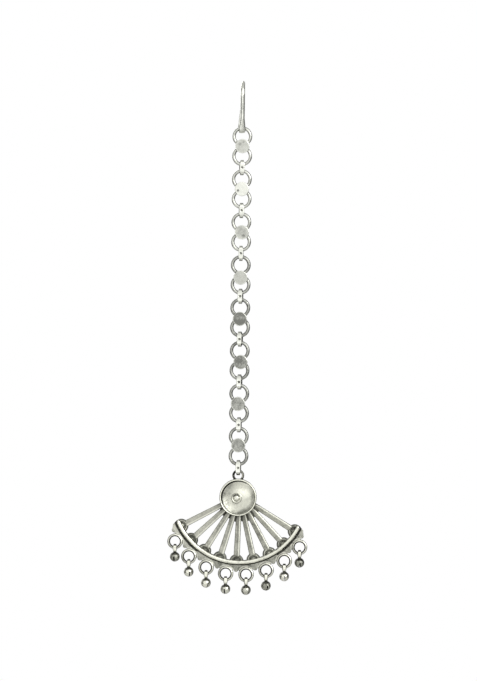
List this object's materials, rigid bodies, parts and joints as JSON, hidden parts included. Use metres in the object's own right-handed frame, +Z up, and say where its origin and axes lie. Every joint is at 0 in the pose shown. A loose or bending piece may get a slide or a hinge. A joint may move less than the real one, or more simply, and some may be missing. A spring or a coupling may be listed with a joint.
{
  "type": "maang tikka",
  "caption": "Hanging forehead jewel of old silver: a hair hook, a chain of disc-fronted ring links, and a fan pendant with a dished cup and a fringe of slit bells.",
  "frame": {"origin": "inside top of the hair hook's bend, where the hair carries the jewel", "axes": "+Z up along the hanging chain, +X to the viewer's right, front faces -Y"},
  "size_m": [0.0407, 0.0086, 0.149],
  "materials": {
    "worn_silver": "old silver, satin with polished edges, slightly olive tarnish",
    "oxidised_silver": "old silver, dark oxide in the recesses, bright worn edges"
  },
  "bodies": {
    "chain": {"hair_hook": "worn_silver", "station_link_1": "worn_silver", "station_link_2": "worn_silver", "station_link_3": "worn_silver", "station_link_4": "worn_silver", "station_link_5": "worn_silver", "station_link_6": "worn_silver", "station_link_7": "worn_silver", "station_link_8": "worn_silver", "connector_1": "worn_silver", "connector_2": "worn_silver", "connector_3": "worn_silver", "connector_4": "worn_silver", "connector_5": "worn_silver", "connector_6": "worn_silver", "connector_7": "worn_silver"},
    "bail": {"connector_8": "worn_silver"},
    "pendant": {"pendant": "oxidised_silver", "bell_1": "oxidised_silver", "bell_2": "oxidised_silver", "bell_3": "oxidised_silver", "bell_4": "oxidised_silver", "bell_5": "oxidised_silver", "bell_6": "oxidised_silver", "bell_7": "oxidised_silver", "bell_8": "oxidised_silver"}
  },
  "joints": [
    {"name": "bail_swing", "type": "hinge", "parent": "chain", "child": "bail", "pos_m": [0, 0, -0.10991], "axis": [1, 0, 0], "range_deg": [-90, 90]},
    {"name": "pendant_sway", "type": "hinge", "parent": "bail", "child": "pendant", "pos_m": [0, 0, -0.11312], "axis": [0, 1, 0], "range_deg": [-75, 75]}
  ]
}
